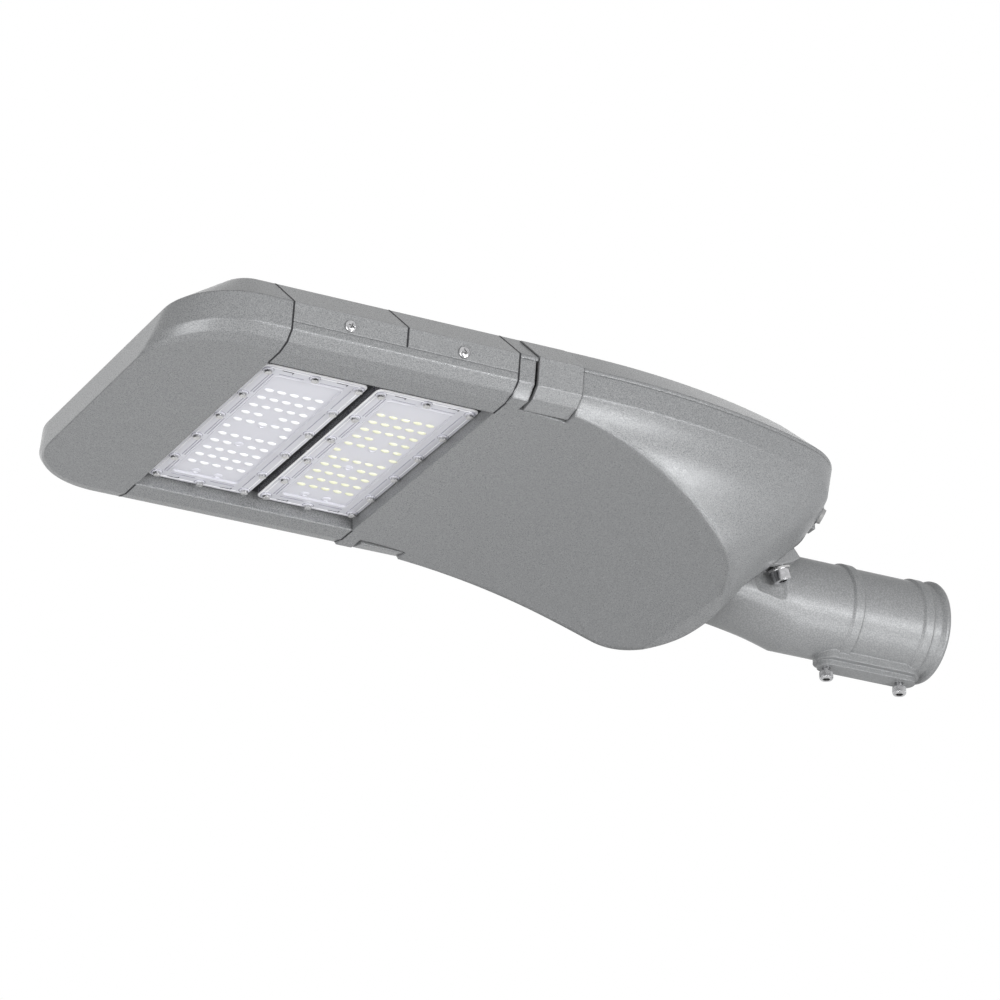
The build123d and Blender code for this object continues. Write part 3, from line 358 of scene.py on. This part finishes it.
for tag, dome in (("_1", DOME_COOL_AND_GLARE), ("_2", DOME_WARM)):
    low, high = box("lens_cover" + tag)
    cx, cy = (low.x + high.x) / 2, (low.y + high.y) / 2
    wide, deep = high.x - low.x, high.y - low.y
    sole = high.z - COVER_DEPTH
    field = sole + FIELD_DROP
    screws = centres("lens_screws" + tag)
    steps = [sole + height for height in STEP_HEIGHTS]
    slots = [sole + height for height in SLOT_HEIGHTS]

    points, faces = [], []
    rings = [
        rounded(cx, cy, wide - 2 * inset, deep - 2 * inset, radius, sole + height)
        for inset, height, radius, look in COVER_RINGS
    ]
    band(points, faces, rings, True)
    indices = [look for *_, look in COVER_RINGS[:-1] for k in rings[0]] + [FACE]
    mats = [LENS, LENS_SIDE, LENS_HIGHLIGHT]
    build("lens_skin" + tag, points, faces, mats, "housing", ("lens_cover" + tag,), indices)

    points, faces = [], []
    for x, y in screws:
        disc(points, faces, x, y, sole, BOSS_PROFILE)
    for x, y in (
        (cx - 9.0, high.y - 19.0), (cx + 8.0, high.y - 18.0), (cx + 1.0, cy - 8.0), (cx - 1.0, cy + 26.0)
    ):
        disc(points, faces, x, y, field, LUMP_PROFILE)
    build("lens_bosses" + tag, points, faces, [LENS], "housing")

    # rings round the bosses, and step lines between them, in darker grey: painted shade along these steps
    points, faces = [], []
    for x, y in screws:
        disc(points, faces, x, y, sole, BOSS_LINE, 28)
    long_side = sorted({round(y, 1) for x, y in screws if abs(x - cx) > wide / 4})
    for side, insets in STEP_INSETS:
        for inset in insets:
            x = cx + side * (wide / 2 - inset)
            for first, last in zip(long_side, long_side[1:]):
                if last - first > 3 * BOSS_RADIUS:
                    ends = (first + STEP_GAP, last - STEP_GAP)
                    bar(points, faces, x - STEP_HALF, x + STEP_HALF, *ends, *steps)
    for y in (low.y + SHORT_STEP_INSET, high.y - SHORT_STEP_INSET):
        for x_low, x_high in SHORT_STEPS:
            bar(points, faces, cx + x_low, cx + x_high, y - STEP_HALF, y + STEP_HALF, *steps)
    build("lens_steps" + tag, points, faces, [LENS_EDGE], "housing")

    # screw shafts behind the clear front side, and dark strips at the corners of the short sides: painted
    # shade in the slots there
    points, faces = [], []
    for x, y in screws:
        if x < cx - wide / 4:
            shaft = (low.x - SHAFT_OUT, low.x - SHAFT_IN, y - SHAFT_HALF, y + SHAFT_HALF)
            bar(points, faces, *shaft, high.z, sole + SHAFT_FOOT)
    for y, out in ((high.y - SLOT_INSET, 1), (low.y + SLOT_INSET, -1)):
        leg = sorted((y, y - LEG_LENGTH * out))
        for x in (cx - SLOT_OFFSET, cx + SLOT_OFFSET):
            reach = (y - SLOT_HALF_WIDTH, y + SLOT_HALF_WIDTH)
            bar(points, faces, x - SLOT_HALF, x + SLOT_HALF, *reach, *slots)
            bar(points, faces, x + LEG_START, x + SLOT_HALF, *leg, *slots)
    build("lens_slots" + tag, points, faces, [LENS_LINE], "housing")

    # domes over the LEDs; module 1's near-white ones also paint the glare highlight on the domes
    points, faces = [], []
    for x, y in centres("led_packages" + tag):
        disc(points, faces, x, y, field, DOME_PROFILE, 18, DOME_FLAT)
    build("led_domes" + tag, points, faces, [dome], "housing", smooth=True)


# Black sheets in the window, behind and around the covers, and a strip on the inner part of the recess's
# rear wall: painted shade where the window recess lies in shadow
SEAM = 54.3
WINDOW_HALF = 108.5
SHADE_SHEET_HALF = WINDOW_HALF - 0.1
SHADE_SHEET_LAP = 6.0
SHADE_SHEET_HEIGHTS = (SEAM - 0.05, SEAM - 0.35)
REAR_SHADE_STRIP = (SEAM - 0.4, 49.0)
front_low, front_high = box("lens_cover_1")
rear_low, rear_high = box("lens_cover_2")
window_front = box("front_heatsink")[0].x
window_rear = box("rear_heatsink")[1].x
rear_end = window_rear - 0.1
points, faces = [], []
for x_low, x_high in (
    (window_front, front_low.x + SHADE_SHEET_LAP),
    (front_high.x - SHADE_SHEET_LAP, rear_low.x + SHADE_SHEET_LAP),
    (rear_high.x - SHADE_SHEET_LAP, rear_end),
):
    bar(points, faces, x_low, x_high, -SHADE_SHEET_HALF, SHADE_SHEET_HALF, *SHADE_SHEET_HEIGHTS)
for low, high in ((front_low, front_high), (rear_low, rear_high)):
    run = (low.x + SHADE_SHEET_LAP, high.x - SHADE_SHEET_LAP)
    bar(points, faces, *run, -SHADE_SHEET_HALF, low.y + SHADE_SHEET_LAP, *SHADE_SHEET_HEIGHTS)
    bar(points, faces, *run, high.y - SHADE_SHEET_LAP, SHADE_SHEET_HALF, *SHADE_SHEET_HEIGHTS)
# black strip on the recess's rear wall: painted shade
bar(points, faces, window_rear - 0.5, rear_end, -SHADE_SHEET_HALF, SHADE_SHEET_HALF, *REAR_SHADE_STRIP)
build("window_shade_sheets", points, faces, [RUBBER_AND_SHADE], "housing")

# Black ribbons over the walls at the joints between the castings: painted shade in the narrow gaps there.
# Each follows the outer section, given as (half width, height) points, or starts on it at the seam.
SECTION = ((WINDOW_HALF, 39.8), (126.0, 39.8), (137.0, 42.4), (144.5, 48.6), (147.4, 67.8), (117.0, 94.3))
WALL_FOOT = 3
JOINT_HALF, SPLIT_HALF, SPLIT_SHIFT = 0.6, 0.65, 0.2
PROUD = 0.15
points, faces = [], []
for x, half, first in (
    (window_front, JOINT_HALF, 0),
    (box("rear_heatsink")[0].x - SPLIT_SHIFT, SPLIT_HALF, WALL_FOOT),
    (window_rear, JOINT_HALF, 0),
):
    for side in (-1, 1):
        line = list(SECTION[first:])
        if first:
            (y1, z1), (y2, z2) = line[:2]
            line[0] = (y1 + (y2 - y1) * (SEAM - z1) / (z2 - z1), SEAM)
        rings = []
        for k, (y, z) in enumerate(line):
            grow = Vector((0, 0))
            for a, b in zip(line[max(k - 1, 0):k + 1], line[max(k, 1):k + 2]):
                run = Vector(b) - Vector(a)
                grow += Vector((run.y, -run.x)).normalized()
            grow = grow.normalized() * PROUD
            outer = (side * (y + grow.x), z + grow.y)
            inner = (side * (y - grow.x), z - grow.y)
            rings.append([(x - half, *outer), (x + half, *outer), (x + half, *inner), (x - half, *inner)])
        band(points, faces, rings)
build("joint_shade_lines", points, faces, [RUBBER_AND_SHADE], "housing")


# Screws
# places in the screws' list of materials: the head, and the recess faces in darker steel that paints their
# shade
HEAD, HOLE = range(2)
# pan head: rings, points on each, smallest ring and lowest height, and powers of its curve
PAN_RINGS, PAN_COUNT = 26, 64
PAN_TIP, PAN_FLOOR = 0.02, 0.02
PAN_CURVE, PAN_SHOULDER = 2.6, 0.62
# cross recess: half width, arm as a share of the radius, depth as a share of the height
CROSS_HALF, CROSS_ARM, CROSS_DEPTH = 0.46, 0.55, 0.7
# cap head: points round it, inset of its underside, ends and depth of the knurl, (drop, inset) of its rim
CAP_COUNT = 144
CAP_FOOT = 0.5
KNURL_FOOT, KNURL_TOP, KNURL_DEPTH = 0.4, 1.3, 0.28
CAP_RIM = ((1.0, 0.3), (0.45, 0.4), (0.1, 0.8), (0.0, 1.2))
# hex socket: (drop, growth)
SOCKET_STEPS = ((0.0, 1.1), (0.25, 1.0), (2.6, 1.0))


def around(base, out, radius, height, angle):
    """Point at a radius, a height and an angle about an axis through base."""
    side = Vector((0, 1, 0)) if abs(out.y) < 0.5 else Vector((1, 0, 0))
    across = (side - out * side.dot(out)).normalized()
    spoke = across * math.cos(angle) + out.cross(across) * math.sin(angle)
    return tuple(base + out * height + spoke * radius)


def cross_screw(points, faces, indices, base, out, radius, height, turn):
    """Pan head with a cross recess."""
    start = len(points)
    deep = []
    arm = CROSS_ARM * radius
    for ring in range(PAN_RINGS + 1):
        share = max(1 - ring / PAN_RINGS, PAN_TIP)
        for angle in turns(PAN_COUNT):
            along = abs(share * radius * math.cos(angle + turn))
            across = abs(share * radius * math.sin(angle + turn))
            near, far = min(along, across), max(along, across)
            recess = near < CROSS_HALF and far < arm
            z = height * (1 - share**PAN_CURVE) ** PAN_SHOULDER if share < 1 else 0.0
            if recess:
                z -= CROSS_DEPTH * height * (1 - 0.5 * far / arm)
            deep.append(recess)
            points.append(around(base, out, share * radius, max(z, PAN_FLOOR), angle))
    for ring in range(PAN_RINGS):
        for k in range(PAN_COUNT):
            a = ring * PAN_COUNT + k
            b = ring * PAN_COUNT + (k + 1) % PAN_COUNT
            corners = (a, b, b + PAN_COUNT, a + PAN_COUNT)
            faces.append(tuple(start + c for c in corners))
            indices.append(HOLE if all(deep[c] for c in corners) else HEAD)
    faces.append(tuple(range(len(points) - PAN_COUNT, len(points))))
    indices.append(HOLE)


def socket_screw(points, faces, indices, base, out, radius, height, stem, stem_length, key):
    """Knurled cap head with a hex socket, and its stem behind it."""
    angles = turns(CAP_COUNT)
    knurl = [radius - KNURL_DEPTH * (k % 4 in (1, 2)) for k in range(CAP_COUNT)]
    hexagon = [key / 2 / math.cos((a % (math.pi / 3)) - math.pi / 6) for a in angles]

    def ring(reaches, level):
        return [around(base, out, reach, level, a) for reach, a in zip(reaches, angles)]

    def circle(reach, level):
        return ring([reach] * CAP_COUNT, level)

    rings = [circle(stem, -stem_length), circle(stem, 0.0), circle(radius - CAP_FOOT, 0.0)]
    rings += [ring(knurl, level) for level in (KNURL_FOOT, height - KNURL_TOP)]
    rings += [circle(radius - inset, height - drop) for drop, inset in CAP_RIM]
    rings += [ring([reach * grow for reach in hexagon], height - drop) for drop, grow in SOCKET_STEPS]
    band(points, faces, rings, True)
    head_faces = CAP_COUNT * (len(rings) - 2)
    indices.extend([HEAD] * head_faces + [HOLE] * (CAP_COUNT + 1))


# side screws: the wall leans inwards below its knee, by this much over this height
SIDE_LEAN = 2.9
SIDE_RISE = 19.2
SIDE_RADIUS, SIDE_HEIGHT = 4.15, 1.58
SIDE_TURNS = (0.35, 0.9, 1.25, 0.6)
points, faces, indices = [], [], []
for order, (low, high) in enumerate(islands("side_screws")):
    side = 1 if low[1] > 0 else -1
    out = Vector((0, side * SIDE_RISE, -SIDE_LEAN)).normalized()
    tip = max(abs(low[1]), abs(high[1]))
    middle = Vector(((low[0] + high[0]) / 2, side * tip, 0))
    base = middle - out * SIDE_HEIGHT
    base.z = (high[2] + low[2]) / 2
    turn = SIDE_TURNS[order % len(SIDE_TURNS)]
    cross_screw(points, faces, indices, base, out, SIDE_RADIUS, SIDE_HEIGHT, turn)
mats = [SCREW, RECESS_SHADE]
build("side_screw_heads", points, faces, mats, "housing", ("side_screws",), indices)

# set screws under the pole socket
CAP_RADIUS, CAP_HEIGHT = 5.0, 6.0
STEM_RADIUS = 2.95
KEY = 5.0
DOWN = Vector((0, 0, -1))
points, faces, indices = [], [], []
for low, high in islands("pole_set_screws"):
    base = Vector(((low[0] + high[0]) / 2, (low[1] + high[1]) / 2, low[2] + CAP_HEIGHT))
    stem = (STEM_RADIUS, high[2] - base.z)
    socket_screw(points, faces, indices, base, DOWN, CAP_RADIUS, CAP_HEIGHT, *stem, KEY)
build("set_screw_heads", points, faces, mats, "spigot", ("pole_set_screws",), indices)


# Floor and light
FLOOR_HALF = 25.0
FLOOR_PLACE = (-0.3, 0.0, -3.5)
# how much of the floor is shown as plain white, the rest keeps the shadow
FLOOR_SHOWN = 0.93
WORLD_STRENGTH = 0.3
WHITE = (1, 1, 1, 1)
MIDDLE = Vector((-0.33, 0.0, 0.03))


def shown_white(tree, surface, shown, share):
    """Shows white to the camera, in gloss and through glass, and leaves the light on the object as it is."""
    path = node(tree, "ShaderNodeLightPath")
    fac = path.outputs["Is Camera Ray"]
    for kind in ("Is Glossy Ray", "Is Transmission Ray"):
        either = node(tree, "ShaderNodeMath", operation="MAXIMUM")
        tree.links.new(fac, either.inputs[0])
        tree.links.new(path.outputs[kind], either.inputs[1])
        fac = either.outputs[0]
    scaled = node(tree, "ShaderNodeMath", operation="MULTIPLY")
    scaled.inputs[1].default_value = share
    tree.links.new(fac, scaled.inputs[0])
    mix = node(tree, "ShaderNodeMixShader")
    tree.links.new(scaled.outputs[0], mix.inputs["Fac"])
    tree.links.new(surface, mix.inputs[1])
    tree.links.new(shown, mix.inputs[2])
    return mix.outputs[0]


floor_mesh = bpy.data.meshes.new("floor")
corners = [(x * FLOOR_HALF, y * FLOOR_HALF, 0) for x, y in ((-1, -1), (1, -1), (1, 1), (-1, 1))]
floor_mesh.from_pydata(corners, [], [(0, 1, 2, 3)])
floor = bpy.data.objects.new("floor", floor_mesh)
floor.location = FLOOR_PLACE
bpy.context.scene.collection.objects.link(floor)
mat, tree, shader = material("floor_white", grey(0.86), 0.0, 0.7)
tree.links.new(ramp(tree, noise(tree, 8.0), grey(0.84), grey(0.88)), shader.inputs["Base Color"])
glow = node(tree, "ShaderNodeEmission", Color=WHITE, Strength=1.0)
white = shown_white(tree, shader.outputs[0], glow.outputs[0], FLOOR_SHOWN)
tree.links.new(white, tree.nodes["Material Output"].inputs["Surface"])
floor_mesh.materials.append(mat)

world = bpy.data.worlds.new("studio")
bpy.context.scene.world = world
world.use_nodes = True
tree = world.node_tree
soft = tree.nodes["Background"]
soft.inputs["Color"].default_value = WHITE
soft.inputs["Strength"].default_value = WORLD_STRENGTH
shown = node(tree, "ShaderNodeBackground", Color=WHITE, Strength=1.0)
white = shown_white(tree, soft.outputs[0], shown.outputs[0], 1.0)
tree.links.new(white, tree.nodes["World Output"].inputs["Surface"])

for name, size, energy, location in (
    ("near_strip", (2.2, 0.25), 36.0, (0.76, -2.26, -0.65)),
    ("flank_softbox", (0.7, 0.7), 16.0, (0.85, -1.5, -1.95)),
    ("front_softbox", (2.0, 2.0), 36.0, (-2.3, -0.9, -1.3)),
    ("far_softbox", (3.2, 2.4), 15.0, (0.2, 2.6, 1.4)),
):
    data = bpy.data.lights.new(name, "AREA")
    data.shape = "RECTANGLE"
    data.size, data.size_y = size
    data.energy = energy
    lamp = bpy.data.objects.new(name, data)
    lamp.location = location
    aim = MIDDLE - Vector(location)
    lamp.rotation_euler = aim.to_track_quat("-Z", "Y").to_euler()
    bpy.context.scene.collection.objects.link(lamp)

# Camera, fitted to the photograph
RIGHT = Vector((0.8874, -0.4611, 0.002))
AHEAD = Vector((0.4185, 0.8072, 0.4162))
CAMERA_PLACE = Vector((-1.8436, -2.8926, -1.4588))
camera_data = bpy.data.cameras.new("camera")
camera_data.sensor_width = 36.0
camera_data.lens = 185.74
camera_data.clip_end = 60.0
camera = bpy.data.objects.new("camera", camera_data)
ahead = AHEAD.normalized()
right = (RIGHT - ahead * RIGHT.dot(ahead)).normalized()
turn = Matrix((right, right.cross(ahead), -ahead)).transposed()
camera.matrix_world = Matrix.Translation(CAMERA_PLACE) @ turn.to_4x4()
bpy.context.scene.collection.objects.link(camera)
bpy.context.scene.camera = camera
bpy.context.scene.view_settings.view_transform = "Standard"
